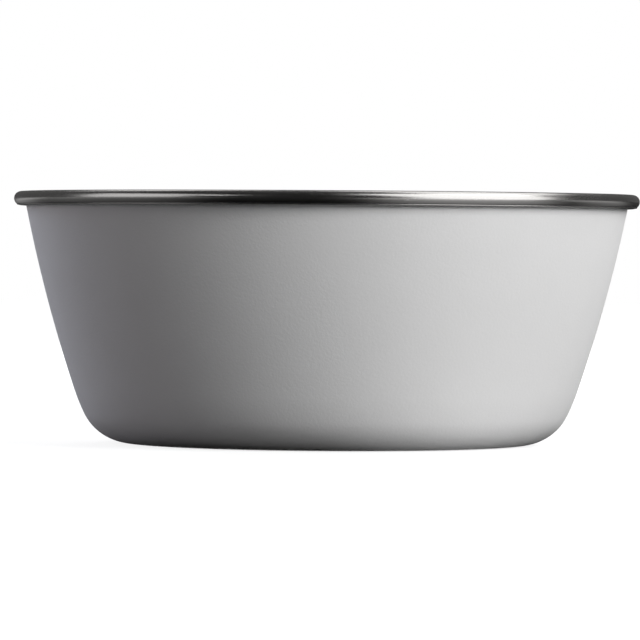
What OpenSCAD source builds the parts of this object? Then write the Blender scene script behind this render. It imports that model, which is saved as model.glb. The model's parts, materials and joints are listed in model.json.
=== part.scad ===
// Insulated stainless steel bowl with an inset lid.
// Two drawn steel skins meet in a rolled rim and hold a vacuum between them. The lid drops inside
// the mouth, rests on a ledge in the liner and lifts out by a folding wire bail.
// Millimetres. The origin is on the axis at the face the bowl stands on, and +Z is up.
// The folded bail lies towards +Y and the vent towards -Y.

/* [Bowl] */
// Diameter over the rolled rim
rim_d = 155; // [140:1:180]
// Height from the standing face to the top of the rim
bowl_h = 62.1; // [56:0.1:72]
// Diameter of the rolled rim's section
bead_d = 3.5; // [3.2:0.1:4.6]
// Lean of the wall from upright at the rim, in degrees
wall_lean = 11; // [8:0.5:14]
// Radius of the wall's slight outward bow
wall_bow_r = 350; // [280:5:500]
// Radius of the corner between the wall and the base
corner_r = 12.7; // [10:0.1:16]
// Thickness of the steel sheet
sheet_t = 0.4; // [0.3:0.05:0.6]

/* [Insulation] */
// Vacuum gap between the two walls
vacuum_gap = 4; // [3.5:0.25:5]
// Vacuum gap between the two bases
base_gap = 4.5; // [4:0.25:7]
// Radius of the corner inside the bowl
liner_corner_r = 14; // [10:0.5:18]
// Thickness of the copper foil on the liner
foil_t = 0.15; // [0.1:0.05:0.3]
// Diameter of the getter pill
getter_d = 8; // [6:0.5:10]
// Height of the getter pill
getter_h = 2; // [1.5:0.1:2.4]

/* [Base] */
// Width of the flat ring that the bowl stands on
foot_w = 9; // [6:0.5:14]
// Depth of the recess inside that ring
recess_h = 1.8; // [1.4:0.1:2.4]
// Thickness of the disc that covers the recess
base_cover_t = 0.5; // [0.4:0.1:0.8]
// Diameter of the dimple round the evacuation hole
dimple_d = 12; // [9:0.5:16]
// Diameter of the evacuation hole
port_d = 2; // [1.5:0.1:3]

/* [Lid] */
// Depth of the lid's ledge below the top of the rim
ledge_depth = 10.5; // [9.5:0.25:13]
// Depth of the lid's top below the top of the rim
lid_drop = 1.8; // [1.2:0.1:2.4]
// Wall thickness of the lid's mouldings
lid_wall = 2; // [1.6:0.1:2.4]
// Depth of the lid's plug below the ledge
plug_h = 7.5; // [6.5:0.25:10]
// Radial width of the gasket with its lips
gasket_w = 2.2; // [1.8:0.1:3]
// Depth of the round dish in the lid's top
dish_depth = 7.5; // [7:0.1:8.5]
// Width of the ring groove near the lid's edge
ring_w = 2.6; // [2:0.2:4]

/* [Bail] */
// Diameter of the bail's wire
wire_d = 3.2; // [2.6:0.1:3.6]
// Distance between the bail's two legs
bail_span = 56; // [48:1:60]
// Distance from the bail's pivot to its crossbar
bail_reach = 28; // [24:1:32]
// Radius of the bail's two upper bends
bail_bend_r = 8; // [5:0.5:12]

/* [Vent] */
// Diameter of the vent plug's cap
vent_cap_d = 15; // [12:0.5:16]
// Diameter of the vent plug's stem
vent_stem_d = 6.4; // [5:0.2:7.6]
// Height of the vent plug's cap
vent_cap_h = 3.6; // [2.8:0.1:4.4]

/* [Hidden] */

// Clearances
weld_gap = 0.05;     // between skins that are welded or bonded
seat_gap = 0.2;      // under a piece that rests on its seat
fit_gap = 0.15;      // between mouldings that plug together
lid_gap = 0.5;       // round the lid's edge in the mouth
gasket_gap = 0.25;   // between the gasket's lips and the liner
pivot_gap = 0.06;    // round the bail's pivots
stem_gap = 0.15;     // round the vent plug's stem
overrun = 1;         // by which a cut passes the face it cuts

// Steps along curves
wall_steps = 18;
corner_steps = 14;
bead_steps = 40;
bend_steps = 5;
$fn = 96;

// Rolled rim and wall: the liner's face runs up the wall and over the roll in one smooth line
bead_r = bead_d / 2;
bead_c = [rim_d / 2 - bead_r, bowl_h - bead_r];
wall_out = [cos(wall_lean), -sin(wall_lean)];
land_inset = 2 * sheet_t + weld_gap;
well_inset = 2 * sheet_t + vacuum_gap;
meet = bead_c - bead_r * wall_out;
bow_c = meet + (land_inset - wall_bow_r) * wall_out;
shell_tuck = bead_r / 3;
curl_end = acos((bead_r - land_inset - weld_gap) / bead_r) - 180 - wall_lean;

// Outer base
base_x = corner_x(wall_bow_r, corner_r, 0);
recess_r = base_x - foot_w;
recess_run = 1.6;
base_bend_r = 1.2;
panel_z = recess_h;
panel_r = recess_r - recess_run;
dimple_h = 1;
dimple_run = 1;
dimple_z = panel_z + dimple_h;
dimple_r = dimple_d / 2;
port_r = port_d / 2;
panel_top = panel_z + sheet_t;
base_cover_gap = 1;

// Liner
floor_z = panel_top + base_gap + sheet_t;
ledge_z = bowl_h - ledge_depth;
ledge_bend_r = 1.2;
ledge_reach = 2 * ledge_bend_r;
liner_bow_r = wall_bow_r - well_inset;
liner_x = corner_x(liner_bow_r, liner_corner_r, floor_z);

// Vacuum fittings
getter_x_share = 0.55;
getter_x = getter_x_share * panel_r;
getter_z = panel_top + weld_gap;
clip_t = 0.4;
clip_w = 3;
clip_foot = 3;
clip_bend_r = 0.6;
seal_r_share = 0.6;
seal_h_share = 0.8;

// Levels of the lid
lid_top = bowl_h - lid_drop;
seat_z = ledge_z + seat_gap;
dish_z = lid_top - dish_depth;

// Bail and its lugs
wire_r = wire_d / 2;
leg_x = bail_span / 2;
foot_bend_r = 3;
lug_wall = 1.6;
lug_w = 4.5;
lug_gap = 0.4;
lug_drop = 0.4;
pivot_short = 0.6;
lug_r = wire_r + lug_wall;
lug_x = leg_x + foot_bend_r + lug_gap;
lug_end = lug_x + lug_w;
pivot_end = lug_end - pivot_short;
pivot_z = lid_top - lug_drop - lug_r;
bail_corner = norm([leg_x - bail_bend_r, bail_reach - bail_bend_r]) + bail_bend_r + wire_r;
rest_r = 2;
rest_x_share = 0.5;
rest_h = pivot_z - wire_r - seat_gap - dish_z;

// Lid's two mouldings
edge_low_x = wall_x(seat_z, land_inset) - lid_gap;
edge_top_x = wall_x(lid_top, land_inset) - lid_gap;
edge_r = 1.6;
ring_margin = 5;
ring_d = 0.6;
ring_x = edge_top_x - ring_margin - ring_w / 2;
dish_draft = 1.5;
dish_floor_r = 2.5;
dish_margin = 4;
dish_r = max(norm([lug_end, lug_r]), bail_corner) + dish_margin;
plug_z = seat_z - plug_h;
pan_top = plug_z + lid_wall;
plug_low_x = plug_x(plug_z);
plug_top_x = plug_x(seat_z);
plug_lip_w = 1;
plug_lip_h = 1.2;
pan_flange_x = edge_low_x - lid_wall - fit_gap;

// Gasket: a band on the plug with two lips that lean up to the liner
gasket_low = plug_z + plug_lip_h + fit_gap;
gasket_h = seat_z - fit_gap - gasket_low;
gasket_band_share = 0.45;
lip_root_shares = [0.12, 0.56];
lip_root_h_share = 0.2;
lip_rise_share = 0.2;
lip_tip_h_share = 0.08;

// Vent plug
vent_y_share = 0.52;
vent_y = -vent_y_share * bail_reach;
vent_cap_r = vent_cap_d / 2;
vent_stem_r = vent_stem_d / 2;
vent_bore_r = vent_stem_r + stem_gap;
chimney_wall = 1.4;
vent_edge_r = 0.8;
vent_nail_w = 2;
vent_nail_h = 1;
vent_dip = 0.9;
vent_tip_h = 1.5;
vent_tip_share = 0.75;
vent_out = 0.8;
vent_groove_w = 2.4;
vent_groove_d = 1.2;
vent_groove_drop = 2;
vent_cap_z = dish_z + seat_gap;

// Radius of the wall at a height, on a face that lies inside the outer face by an inset
function wall_x(z, inset) = bow_c.x + sqrt(pow(wall_bow_r - inset, 2) - pow(z - bow_c.y, 2));

// Angle on the wall's bow at a height, for a bow of radius r
function wall_angle(z, r) = asin((z - bow_c.y) / r);

// Radius of the centre of a corner that is tangent to a wall of bow radius r and to a floor
function corner_x(r, corner, floor_h) =
    bow_c.x + sqrt(pow(r - corner, 2) - pow(floor_h + corner - bow_c.y, 2));

// Angle at which that corner runs into the wall
function corner_angle(r, corner, floor_h) =
    atan2(floor_h + corner - bow_c.y, corner_x(r, corner, floor_h) - bow_c.x);

// Radius of the lid's plug at a height
function plug_x(z) = wall_x(z, well_inset) - gasket_gap - gasket_w;

// Radius of the gasket's inner face at a height, on the straight side of the plug
function gasket_in(z) =
    plug_low_x + (plug_top_x - plug_low_x) * (z - plug_z) / (seat_z - plug_z) + fit_gap;

function unit(v) = v / norm(v);
function tail(path) = [for (i = [1:1:len(path) - 1]) path[i]];

// Points of an arc from angle a to angle b
function arc(c, r, a, b, steps) =
    [for (i = [0:steps]) let (t = a + (b - a) * i / steps) c + r * [cos(t), sin(t)]];

// Points that round the corner b between a and c, all [x, z], with a radius
function bend(a, b, c, r) =
    let (
        u = unit(a - b),
        v = unit(c - b),
        half = acos(u * v) / 2,
        centre = b + unit(u + v) * r / sin(half),
        from = b + u * r / tan(half) - centre,
        sweep = (180 - 2 * half) * sign(cross(-u, v))
    )
    [for (i = [0:bend_steps]) let (t = sweep * i / bend_steps)
        centre + [from.x * cos(t) - from.y * sin(t), from.x * sin(t) + from.y * cos(t)]];

// Outline through corners of [x, z, radius], where a corner with no radius stays sharp
function rounded(corners, closed = true) =
    let (
        n = len(corners),
        at = function(i) [corners[(i + n) % n].x, corners[(i + n) % n].y]
    )
    [for (i = [0:n - 1])
        let (
            radius = len(corners[i]) > 2 ? corners[i][2] : 0,
            sharp = radius == 0 || (!closed && (i == 0 || i == n - 1))
        )
        each sharp ? [at(i)] : bend(at(i - 1), at(i), at(i + 1), radius)];

// Step from a path's point i to the other face of a sheet of thickness 1, to the left of the path
function mitre(path, i) =
    let (
        n = len(path),
        d1 = unit(i == 0 ? path[1] - path[0] : path[i] - path[i - 1]),
        d2 = unit(i == n - 1 ? path[n - 1] - path[n - 2] : path[i + 1] - path[i])
    )
    [-d1.y - d2.y, d1.x + d2.x] / (1 + d1 * d2);

// Outline of a sheet along a path, with its thickness t to the left, or to the right if negative
function sheet(path, t) =
    concat(path, [for (i = [len(path) - 1:-1:0]) path[i] + t * mitre(path, i)]);

// Outer face of the shell, from the evacuation hole out to the wall and up into the rolled rim
function shell_face() =
    let (
        turn = corner_angle(wall_bow_r, corner_r, 0),
        top = -wall_lean - shell_tuck / wall_bow_r * 180 / PI
    )
    concat(
        rounded([
            [port_r, dimple_z],
            [dimple_r, dimple_z, base_bend_r],
            [dimple_r + dimple_run, panel_z, base_bend_r],
            [panel_r, panel_z, base_bend_r],
            [recess_r, 0, base_bend_r],
            [base_x, 0]
        ], closed = false),
        tail(arc([base_x, corner_r], corner_r, -90, turn, corner_steps)),
        tail(arc(bow_c, wall_bow_r, turn, top, wall_steps))
    );

// Inner face of the liner, from the middle of its floor up over the ledge and round the rolled rim
function liner_face() =
    let (
        turn = corner_angle(liner_bow_r, liner_corner_r, floor_z),
        land_bow_r = wall_bow_r - land_inset,
        well_end = wall_angle(ledge_z - ledge_reach, liner_bow_r),
        land_start = wall_angle(ledge_z + ledge_reach, land_bow_r),
        below = bow_c + liner_bow_r * [cos(well_end), sin(well_end)],
        above = bow_c + land_bow_r * [cos(land_start), sin(land_start)]
    )
    concat(
        [[0, floor_z]],
        arc([liner_x, floor_z + liner_corner_r], liner_corner_r, -90, turn, corner_steps),
        tail(arc(bow_c, liner_bow_r, turn, well_end, wall_steps)),
        tail(rounded([
            below,
            [wall_x(ledge_z, well_inset), ledge_z, ledge_bend_r],
            [wall_x(ledge_z, land_inset), ledge_z, ledge_bend_r],
            above
        ], closed = false)),
        tail(arc(bow_c, land_bow_r, land_start, -wall_lean, bend_steps)),
        tail(arc(bead_c, bead_r, 180 - wall_lean, curl_end, bead_steps))
    );

// White coated outer skin, drawn in one piece with its recessed base
module outer_shell() {
    color("whitesmoke")
        rotate_extrude() polygon(sheet(shell_face(), sheet_t));
}

// Bare steel inner skin, with the ledge for the lid and the rim that rolls over the shell's edge
module inner_liner() {
    color("silver")
        rotate_extrude() polygon(sheet(liner_face(), -sheet_t));
}

// Copper foil round the liner's wall, which reflects heat back across the vacuum
module heat_foil() {
    foil_r = liner_bow_r + sheet_t + weld_gap;
    low = corner_angle(liner_bow_r, liner_corner_r, floor_z);
    high = wall_angle(ledge_z - ledge_reach, foil_r);
    color("chocolate")
        rotate_extrude() polygon(sheet(arc(bow_c, foil_r, low, high, wall_steps), -foil_t));
}

// Pill that takes up stray gas in the vacuum
module getter() {
    color("dimgray")
        translate([getter_x, 0, getter_z]) rotate_extrude() polygon(rounded([
            [0, 0],
            [getter_d / 2, 0, clip_bend_r],
            [getter_d / 2, getter_h, clip_bend_r],
            [0, getter_h]
        ]));
}

// Strap that is welded to the shell's base and holds the getter down
module getter_clip() {
    in_x = getter_d / 2 + weld_gap + clip_t;
    in_z = getter_h + weld_gap + clip_t;
    strap = rounded([
        [-in_x - clip_foot, clip_t],
        [-in_x, clip_t, clip_bend_r + clip_t],
        [-in_x, in_z, clip_bend_r + clip_t],
        [in_x, in_z, clip_bend_r + clip_t],
        [in_x, clip_t, clip_bend_r + clip_t],
        [in_x + clip_foot, clip_t]
    ], closed = false);
    color("lightsteelblue")
        translate([getter_x, clip_w / 2, getter_z]) rotate([90, 0, 0])
            linear_extrude(clip_w) polygon(sheet(strap, -clip_t));
}

// Drop of solder glass that closes the evacuation hole from below
module seal_bead() {
    top = dimple_z - weld_gap;
    half_w = seal_r_share * dimple_r;
    h = seal_h_share * dimple_h;
    dome_r = (half_w * half_w + h * h) / (2 * h);
    swing = asin(half_w / dome_r);
    plug_r = port_r - weld_gap;
    color("darkslategray")
        rotate_extrude() polygon(concat(
            arc([0, top - h + dome_r], dome_r, -90, swing - 90, bend_steps),
            [[plug_r, top], [plug_r, dimple_z + sheet_t], [0, dimple_z + sheet_t]]
        ));
}

// Steel disc that is bonded into the recess and hides the seal
module base_cover() {
    cover_r = panel_r - base_cover_gap;
    top = panel_z - weld_gap;
    edge = base_cover_t / 4;
    color("gainsboro")
        rotate_extrude() polygon(rounded([
            [0, top - base_cover_t],
            [cover_r, top - base_cover_t, edge],
            [cover_r, top, edge],
            [0, top]
        ]));
}

// Section of the lid's cover: a thin dished disc with a tapered edge that stands on the ledge
module cover_section() {
    dish_low = dish_r - dish_draft;
    polygon(rounded([
        [edge_low_x, seat_z, ledge_bend_r],
        [edge_top_x, lid_top, edge_r],
        [ring_x + ring_w / 2, lid_top, ring_d / 2],
        [ring_x + ring_w / 2 - ring_d, lid_top - ring_d, ring_d / 2],
        [ring_x - ring_w / 2 + ring_d, lid_top - ring_d, ring_d / 2],
        [ring_x - ring_w / 2, lid_top, ring_d / 2],
        [dish_r, lid_top, edge_r],
        [dish_low, dish_z, dish_floor_r],
        [0, dish_z],
        [0, dish_z - lid_wall],
        [dish_low + lid_wall, dish_z - lid_wall, dish_floor_r],
        [dish_r + lid_wall, lid_top - lid_wall, edge_r / 2],
        [edge_top_x - lid_wall, lid_top - lid_wall, edge_r / 2],
        [edge_low_x - lid_wall, seat_z]
    ]));
}

// Boss that holds one end of the bail
module bail_lug() {
    translate([lug_x, 0, pivot_z]) rotate([0, 90, 0]) cylinder(r = lug_r, h = lug_w);
    translate([lug_x, -lug_r, dish_z - lid_wall / 2])
        cube([lug_w, 2 * lug_r, pivot_z - dish_z + lid_wall / 2]);
}

// Top moulding of the lid, with the lugs and rests of the bail and the tube of the vent
module lid_cover() {
    tube_z = pan_top + fit_gap;
    color("darkgray") difference() {
        union() {
            rotate_extrude() cover_section();
            for (side = [0, 1]) mirror([side, 0, 0]) bail_lug();
            for (x = [-1, 1], y = [-1, 1])
                translate([x * rest_x_share * leg_x, y * bail_reach, dish_z - lid_wall / 2])
                    cylinder(r = rest_r, h = rest_h + lid_wall / 2);
            translate([0, vent_y, tube_z])
                cylinder(r = vent_bore_r + chimney_wall, h = dish_z - lid_wall / 2 - tube_z);
        }
        translate([-lug_end - overrun, 0, pivot_z]) rotate([0, 90, 0])
            cylinder(r = wire_r + pivot_gap, h = 2 * (lug_end + overrun));
        translate([0, vent_y, tube_z - overrun])
            cylinder(r = vent_bore_r, h = dish_z - tube_z + 2 * overrun);
    }
}

// Foam that fills the space between the lid's two mouldings
module lid_core() {
    low = pan_top + fit_gap;
    shoulder = seat_z + lid_wall + fit_gap;
    high = lid_top - lid_wall - fit_gap;
    dish_under = dish_z - lid_wall - fit_gap;
    dish_side = dish_r + lid_wall + fit_gap;
    color("lightyellow") difference() {
        rotate_extrude() polygon(rounded([
            [0, low],
            [plug_low_x - lid_wall - fit_gap, low, lid_wall],
            [plug_low_x - lid_wall - fit_gap, shoulder],
            [pan_flange_x - fit_gap, shoulder],
            [edge_top_x - lid_wall - edge_r, high],
            [dish_side + edge_r, high],
            [dish_side, dish_under],
            [0, dish_under]
        ]));
        translate([0, vent_y, low - overrun])
            cylinder(r = vent_bore_r + chimney_wall + fit_gap, h = dish_under - low + 2 * overrun);
    }
}

// Bottom moulding of the lid: the plug, with a lip that keeps the gasket on
module lid_pan() {
    lip_r = plug_lip_w / 2.5;
    color("slategray") difference() {
        rotate_extrude() polygon(rounded([
            [0, plug_z],
            [plug_low_x + plug_lip_w, plug_z, lip_r],
            [plug_low_x + plug_lip_w, plug_z + plug_lip_h, lip_r],
            [gasket_in(plug_z + plug_lip_h) - fit_gap, plug_z + plug_lip_h],
            [plug_top_x, seat_z],
            [pan_flange_x, seat_z],
            [pan_flange_x, seat_z + lid_wall],
            [plug_top_x - lid_wall, seat_z + lid_wall],
            [plug_low_x - lid_wall, pan_top, lid_wall],
            [0, pan_top]
        ]));
        translate([0, vent_y, plug_z - overrun])
            cylinder(r = vent_bore_r, h = lid_wall + 2 * overrun);
    }
}

// Silicone ring on the plug, with lips that wipe the liner
module lid_gasket() {
    band = gasket_band_share * gasket_w;
    level = function(share) gasket_low + share * gasket_h;
    side = function(share) [gasket_in(level(share)) + band, level(share)];
    tip = function(share) [wall_x(level(share), well_inset) - gasket_gap, level(share)];
    lips = [for (root = lip_root_shares) each [
        side(root),
        tip(root + lip_rise_share),
        tip(root + lip_rise_share + lip_tip_h_share),
        side(root + lip_root_h_share)
    ]];
    color("lightgray")
        rotate_extrude() polygon(concat(
            [[gasket_in(level(0)), level(0)], side(0)],
            lips,
            [side(1), [gasket_in(level(1)), level(1)]]
        ));
}

// One half of the bail's bent wire, from the middle of the crossbar to the end of its pivot
module bail_half() {
    elbow = [leg_x - bail_bend_r, bail_reach - bail_bend_r];
    rotate([0, 90, 0]) translate([0, bail_reach, 0]) cylinder(r = wire_r, h = elbow.x);
    translate(elbow) rotate_extrude(angle = 90)
        translate([bail_bend_r, 0]) circle(r = wire_r);
    translate([leg_x, foot_bend_r, 0]) rotate([-90, 0, 0])
        cylinder(r = wire_r, h = elbow.y - foot_bend_r);
    translate([leg_x + foot_bend_r, foot_bend_r, 0]) rotate(180) rotate_extrude(angle = 90)
        translate([foot_bend_r, 0]) circle(r = wire_r);
    translate([leg_x + foot_bend_r, 0, 0]) rotate([0, 90, 0])
        cylinder(r = wire_r, h = pivot_end - leg_x - foot_bend_r);
}

// Folding wire handle, whose turned-out ends spring into the lugs
module lid_bail() {
    color("gainsboro") translate([0, 0, pivot_z])
        for (side = [0, 1]) mirror([side, 0, 0]) bail_half();
}

// Silicone plug that is pulled up to let steam out along the groove in its stem
module vent_plug() {
    foot = plug_z - vent_out;
    cap_top = vent_cap_z + vent_cap_h;
    color("lightgray") translate([0, vent_y, 0]) difference() {
        rotate_extrude() polygon(rounded([
            [0, foot],
            [vent_tip_share * vent_stem_r, foot],
            [vent_stem_r, foot + vent_tip_h],
            [vent_stem_r, vent_cap_z],
            [vent_cap_r - vent_nail_w, vent_cap_z],
            [vent_cap_r, vent_cap_z + vent_nail_h, vent_edge_r / 2],
            [vent_cap_r, cap_top, vent_edge_r],
            [vent_stem_r + vent_nail_w / 2, cap_top, vent_edge_r],
            [vent_stem_r, cap_top - vent_dip],
            [0, cap_top - vent_dip]
        ]));
        translate([vent_stem_r - vent_groove_d, -vent_groove_w / 2, foot - overrun])
            cube([vent_stem_d, vent_groove_w, vent_cap_z - vent_groove_drop - foot + overrun]);
    }
}

outer_shell();
inner_liner();
heat_foil();
getter();
getter_clip();
seal_bead();
base_cover();
lid_cover();
lid_core();
lid_pan();
lid_gasket();
lid_bail();
vent_plug();
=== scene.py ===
"""Looks of an insulated steel bowl with an inset lid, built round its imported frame.

Metres, in the frame's axes: the origin is on the bowl's axis at the face it stands on, +Z is up, the
camera looks along +Y, and the folded bail lies towards +Y.
"""

import json
import logging
import math
from dataclasses import dataclass, replace
from enum import Enum
from functools import cache

import bmesh
import bpy
from bmesh.types import BMEdge, BMesh, BMVert
from bpy.types import Material, Node, NodeSocket, Object, World
from mathutils import Matrix, Vector

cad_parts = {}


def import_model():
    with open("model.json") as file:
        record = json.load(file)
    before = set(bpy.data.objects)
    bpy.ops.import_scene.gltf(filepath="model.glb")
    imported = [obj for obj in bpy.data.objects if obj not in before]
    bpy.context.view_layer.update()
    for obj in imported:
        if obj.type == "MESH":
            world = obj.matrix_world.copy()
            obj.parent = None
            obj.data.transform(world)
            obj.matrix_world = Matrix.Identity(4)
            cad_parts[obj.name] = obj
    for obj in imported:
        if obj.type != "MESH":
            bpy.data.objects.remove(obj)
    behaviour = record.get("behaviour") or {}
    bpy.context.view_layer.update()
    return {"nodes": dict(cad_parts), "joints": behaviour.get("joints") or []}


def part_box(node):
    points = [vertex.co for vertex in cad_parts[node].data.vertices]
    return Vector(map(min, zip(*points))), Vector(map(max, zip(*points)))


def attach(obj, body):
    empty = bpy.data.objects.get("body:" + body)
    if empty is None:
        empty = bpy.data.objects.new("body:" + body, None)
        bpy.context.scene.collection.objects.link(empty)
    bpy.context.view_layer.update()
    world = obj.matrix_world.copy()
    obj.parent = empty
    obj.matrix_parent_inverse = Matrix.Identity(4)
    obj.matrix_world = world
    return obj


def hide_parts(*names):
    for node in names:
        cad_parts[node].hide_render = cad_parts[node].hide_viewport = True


LOG = logging.getLogger("bowl")
SHARP_ANGLE = math.radians(38)
MERGE_GAP = 1e-7
LEVEL_GAP = 1e-6

# Steps round or along the curves
TURN_STEPS = 192
WALL_STEPS = 24
LAND_STEPS = 10
CORNER_STEPS = 20
BLEND_STEPS = 10
ROLL_STEPS = 64
SEAM_STEPS = 16
HOLE_STEPS = 48
LUG_STEPS = 24
POST_STEPS = 40
FLAG_STEPS = 64
SOFT_STEPS = 8
REST_STEPS = 5
FINE_STEPS = 4
EDGE_STEPS = 3

Colour = tuple[float, float, float]
Point = tuple[float, float]
BLACK = (0, 0, 0, 1)
WHITE = (1, 1, 1, 1)
METAL = (("Metallic", 1.0),)


class Body(Enum):
    """Rigid bodies of the frame that the pieces ride on."""

    BOWL = "bowl"
    LID = "lid"
    BAIL = "bail"
    VENT = "vent"


class Pattern(Enum):
    """Ways that a texture can vary over a surface."""

    GRAIN = "grain"
    RINGS = "rings"
    CELLS = "cells"

    @property
    def ends(self) -> Point:
        """Usual range of the pattern's values."""
        return (0, 1) if self is Pattern.CELLS else (0.3, 0.7)


class Use(Enum):
    """What a light is there for: to light dull surfaces, or to be mirrored by polished ones."""

    LIGHT = "light"
    MIRROR = "mirror"


class Tree:
    """Node tree of a material or of the world."""

    def __init__(self, owner: Material | World) -> None:
        """Take over the nodes that a new owner starts with.

        Args:
            owner: Material or world that has no nodes of its own yet.
        """
        owner.use_nodes = True
        self.owner, self.nodes, self.links = owner, owner.node_tree.nodes, owner.node_tree.links
        self.shader = self.nodes.get("Principled BSDF")

    def feed(self, target: NodeSocket, value: object) -> None:
        """Link an input to an output, or set it to a constant.

        Args:
            target: Input to feed.
            value: Output, or constant.
        """
        if isinstance(value, NodeSocket):
            self.links.new(value, target)
        else:
            target.default_value = value

    def add(self, kind: str, values: dict | None = None, **settings: object) -> Node:
        """Add a node.

        Args:
            kind: Blender's name of the node type.
            values: What its inputs get, by their names or numbers.
            settings: Properties of the node by name.

        Returns:
            The new node.
        """
        node = self.nodes.new(kind)
        for key, setting in settings.items():
            setattr(node, key, setting)
        for key, value in (values or {}).items():
            self.feed(node.inputs[key], value)
        return node

    def out(self, kind: str, values: dict, **settings: object) -> NodeSocket:
        """Add a node and give the first output that it has in use."""
        return next(socket for socket in self.add(kind, values, **settings).outputs if socket.enabled)

    def paint(self, **values: object) -> None:
        """Feed the shader's inputs, with underscores for the spaces in their names."""
        for key, value in values.items():
            self.feed(self.shader.inputs[key.replace("_", " ")], value)

    def glow(self, strength: NodeSocket) -> None:
        """Make the shader dull and black, so that it only glows."""
        self.paint(Base_Color=BLACK, Roughness=1.0, Specular_IOR_Level=0.0)
        self.paint(Emission_Color=WHITE, Emission_Strength=strength)

    def place(self) -> NodeSocket:
        """Give the coordinates of the piece in the frame."""
        return self.add("ShaderNodeTexCoord").outputs["Object"]

    def math(self, operation: str, first: object, second: object) -> NodeSocket:
        """Combine two values, each a socket or a number."""
        return self.out("ShaderNodeMath", {0: first, 1: second}, operation=operation)

    def vector(self, operation: str, first: NodeSocket, second: object = (0, 0, 0)) -> NodeSocket:
        """Combine a vector with another one, or measure it."""
        return self.out("ShaderNodeVectorMath", {0: first, 1: second}, operation=operation)

    def spread(self, value: NodeSocket, to: Point, ends: Point, ease: str = "LINEAR") -> NodeSocket:
        """Map a value between two ends to one between two results, by an ease that Blender names."""
        values = {"Value": value, "From Min": ends[0], "From Max": ends[1], "To Min": to[0], "To Max": to[1]}
        return self.out("ShaderNodeMapRange", values, interpolation_type=ease)

    def round_place(self, place: NodeSocket, along: float, across: float) -> NodeSocket:
        """Give coordinates that stretch a texture into rings round the Z axis.

        Args:
            place: Coordinates in the frame.
            along: Scale of the change along the rings.
            across: Scale of the change across the rings.

        Returns:
            A vector socket with no seam.
        """
        flat = self.vector("MULTIPLY", place, (1, 1, 0))
        turn = self.add("ShaderNodeSeparateXYZ", {"Vector": self.vector("NORMALIZE", flat)})
        height = self.add("ShaderNodeSeparateXYZ", {"Vector": place}).outputs["Z"]
        slant = self.math("ADD", self.vector("LENGTH", flat), height)
        rings = {"X": self.math("MULTIPLY", slant, across)}
        for source, target in (("X", "Y"), ("Y", "Z")):
            rings[target] = self.math("MULTIPLY", turn.outputs[source], along)
        return self.out("ShaderNodeCombineXYZ", rings)

    def bump(self, height: NodeSocket, depth: float) -> None:
        """Raise the surface by a height map, over any bump that is already there.

        Args:
            height: Height from 0 to 1.
            depth: Height of 1 in metres.
        """
        values = {"Strength": 1.0, "Distance": depth, "Height": height}
        for link in self.shader.inputs["Normal"].links:
            values["Normal"] = link.from_socket
        self.paint(Normal=self.out("ShaderNodeBump", values))

    def split(self, unseen: NodeSocket, seen: NodeSocket, output: str) -> None:
        """Shade by one node what lights dull surfaces, and by another what is seen or mirrored.

        Args:
            unseen: Shader for rays from dull surfaces.
            seen: Shader for rays from the camera, a mirror or glass.
            output: Name of the tree's output node.
        """
        path = self.add("ShaderNodeLightPath").outputs
        factor = path["Is Camera Ray"]
        for name in ("Is Glossy Ray", "Is Transmission Ray"):
            factor = self.math("MAXIMUM", factor, path[name])
        mix = self.out("ShaderNodeMixShader", {0: factor, 1: unseen, 2: seen})
        self.feed(self.nodes[output].inputs["Surface"], mix)


@dataclass(frozen=True)
class Texture:
    """Pattern on a finish, and what it does to the shade, the gloss and the relief.

    The grain is the size of its features, octaves and weight are those of the finer noise in it, and turn
    is the change along its rings. The shade is the share of the colour that is left in its dark parts, the
    gloss is the change of the roughness at its low and its high end, and the relief is its height.
    """

    grain: float
    octaves: float = 2.0
    weight: float = 0.5
    pattern: Pattern = Pattern.GRAIN
    turn: float = 0.0
    shade: float = 1.0
    gloss: Point = (0.0, 0.0)
    relief: float = 0.0

    def value(self, tree: Tree) -> NodeSocket:
        """Add the pattern to a node tree.

        Args:
            tree: Node tree of the finish.

        Returns:
            The pattern's value.
        """
        place, scale = tree.place(), 1 / self.grain
        if self.pattern is Pattern.RINGS:
            place, scale = tree.round_place(place, self.turn, scale), 1.0
        values = {"Vector": place, "Scale": scale}
        if self.pattern is Pattern.CELLS:
            return tree.out("ShaderNodeTexVoronoi", values)
        return tree.out("ShaderNodeTexNoise", values | {"Detail": self.octaves, "Roughness": self.weight})


@dataclass(frozen=True)
class Finish:
    """Look of a surface: its colour and its roughness, the textures on it and other constant inputs."""

    name: str
    colour: Colour
    roughness: float
    textures: tuple[Texture, ...]
    others: tuple[tuple[str, float], ...] = ()

    @cache
    def material(self) -> Material:
        """Build the finish's material, at the first call alone.

        Returns:
            The material.
        """
        tree = Tree(bpy.data.materials.new(self.name))
        rough = self.roughness
        for texture in self.textures:
            value, ends = texture.value(tree), texture.pattern.ends
            if texture.shade < 1:
                dark = [texture.shade * part for part in self.colour]
                mix = {"Factor": tree.spread(value, (0, 1), ends), "A": (*dark, 1), "B": (*self.colour, 1)}
                tree.paint(Base_Color=tree.out("ShaderNodeMix", mix, data_type="RGBA"))
            if any(texture.gloss):
                rough = tree.math("ADD", rough, tree.spread(value, texture.gloss, ends))
            if texture.relief:
                tree.bump(value, texture.relief)
        tree.paint(Roughness=rough, **dict(self.others))
        return tree.owner


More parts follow.
